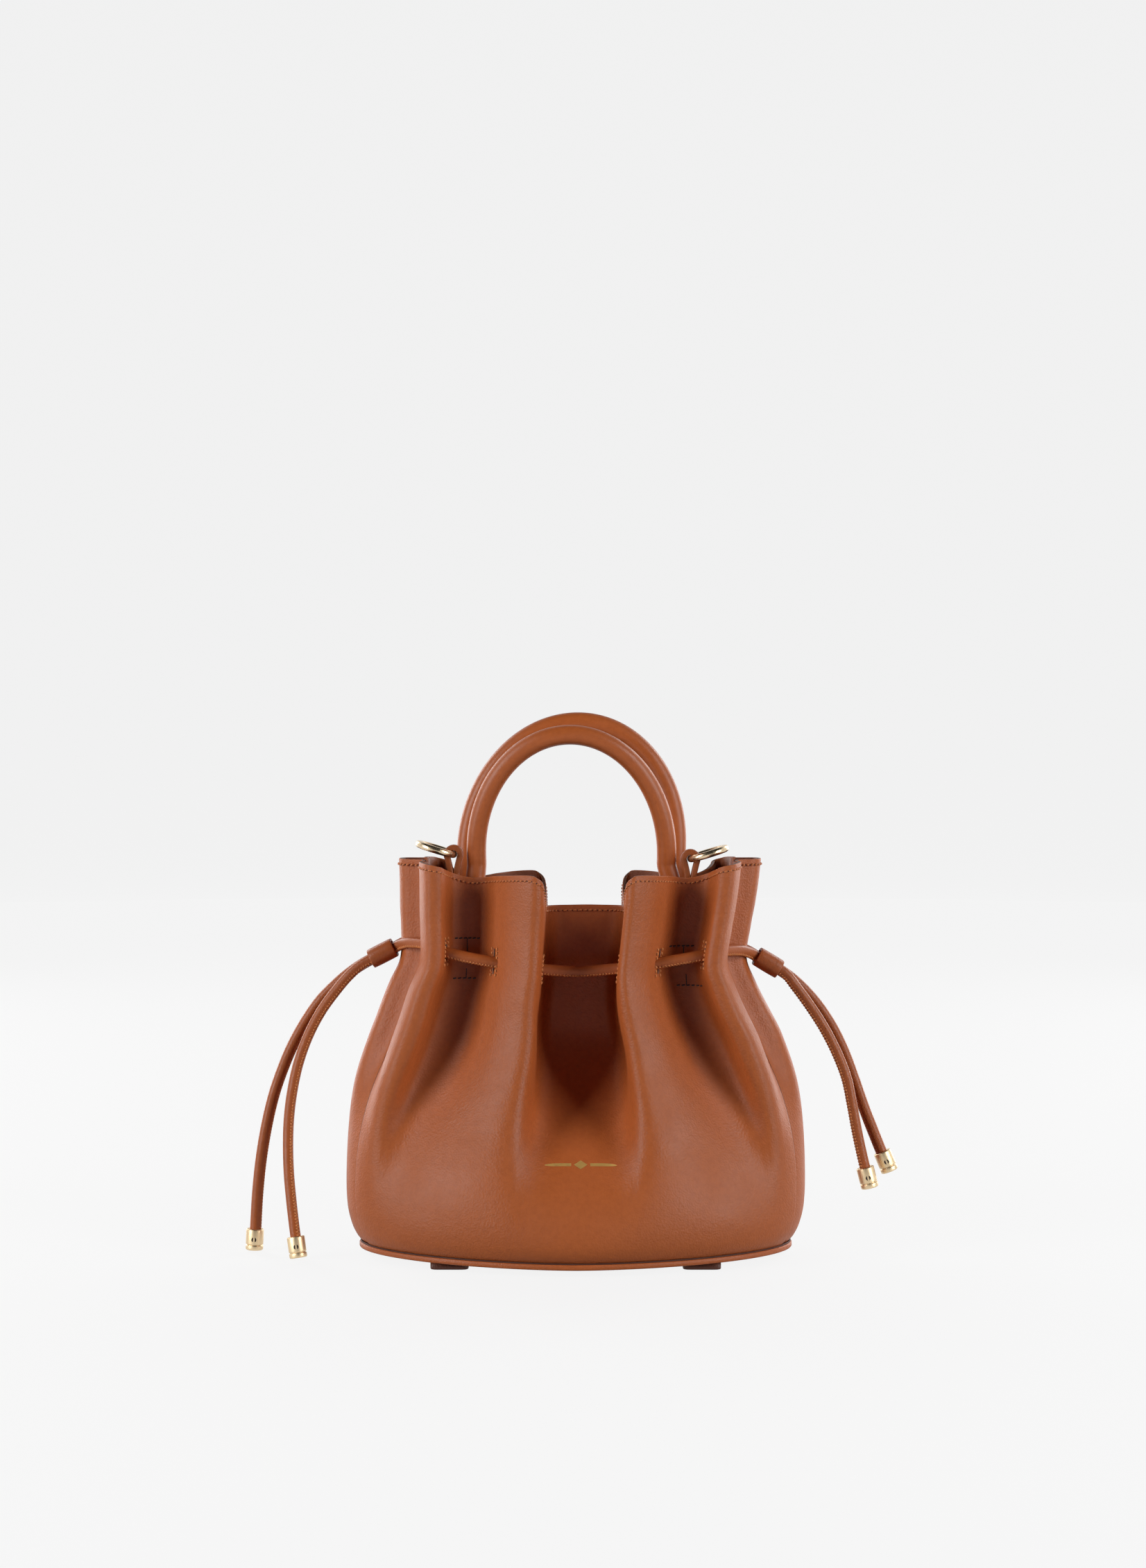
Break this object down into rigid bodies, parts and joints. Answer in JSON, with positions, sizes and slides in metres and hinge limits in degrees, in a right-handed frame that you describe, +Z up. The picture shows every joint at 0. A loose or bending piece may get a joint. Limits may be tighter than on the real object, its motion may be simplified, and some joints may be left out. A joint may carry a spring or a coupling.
{
  "type": "bucket bag",
  "caption": "Leather bucket bag with an oval base, a gathered drawstring neck, two rolled top handles, strap rings and metal-tipped cords through keepers.",
  "frame": {"origin": "on the ground under the middle of the bag's base", "axes": "+Z up, +X to the right as seen from the front, the front panel faces -Y"},
  "size_m": [0.2987, 0.135, 0.247],
  "materials": {
    "leather": "smooth cognac calf leather, satin",
    "leather_dark": "dark brown edge-painted leather",
    "lining": "olive-brown microsuede",
    "filler": "twisted cotton rope",
    "board": "pressed fibre board",
    "brass": "polished and lacquered pale gold"
  },
  "bodies": {
    "root": {"front_panel": "leather", "back_panel": "leather", "gusset_left": "leather", "gusset_right": "leather", "lining": "lining", "base_panel": "leather", "base_board": "board", "foot_front_left": "leather_dark", "foot_front_right": "leather_dark", "foot_back_left": "leather_dark", "foot_back_right": "leather_dark", "handle_tab_front_left": "leather", "handle_tab_front_right": "leather", "handle_tab_back_left": "leather", "handle_tab_back_right": "leather", "ring_loop_left": "leather", "ring_loop_right": "leather", "snap_front": "brass", "snap_back": "brass", "drawstring_front": "leather", "drawstring_back": "leather", "tip_left_front": "brass", "tip_left_back": "brass", "tip_right_front": "brass", "tip_right_back": "brass", "tip_screws": "brass"},
    "front_handle": {"handle_front": "leather", "handle_core_front": "filler"},
    "back_handle": {"handle_back": "leather", "handle_core_back": "filler"},
    "left_ring": {"ring_left": "brass"},
    "right_ring": {"ring_right": "brass"},
    "left_keeper": {"keeper_left": "leather"},
    "right_keeper": {"keeper_right": "leather"}
  },
  "joints": [
    {"name": "front_handle_swing", "type": "hinge", "parent": "root", "child": "front_handle", "pos_m": [0, -0.011, 0.178], "axis": [1, 0, 0], "range_deg": [-19, 56]},
    {"name": "back_handle_swing", "type": "hinge", "parent": "root", "child": "back_handle", "pos_m": [0, 0.011, 0.178], "axis": [-1, 0, 0], "range_deg": [-8, 67]},
    {"name": "left_ring_turn", "type": "hinge", "parent": "root", "child": "left_ring", "pos_m": [-0.0552, -0.014, 0.1828], "axis": [0, 1, 0], "range_deg": [-9, 66]},
    {"name": "right_ring_turn", "type": "hinge", "parent": "root", "child": "right_ring", "pos_m": [0.052, -0.01345, 0.1808], "axis": [0, -1, 0], "range_deg": [-9, 66]},
    {"name": "left_keeper_slide", "type": "slide", "parent": "root", "child": "left_keeper", "axis": [-0.891, 0, -0.454], "range_m": [0, 0.003]},
    {"name": "right_keeper_slide", "type": "slide", "parent": "root", "child": "right_keeper", "axis": [0.8572, 0, -0.515], "range_m": [0, 0.003]}
  ]
}
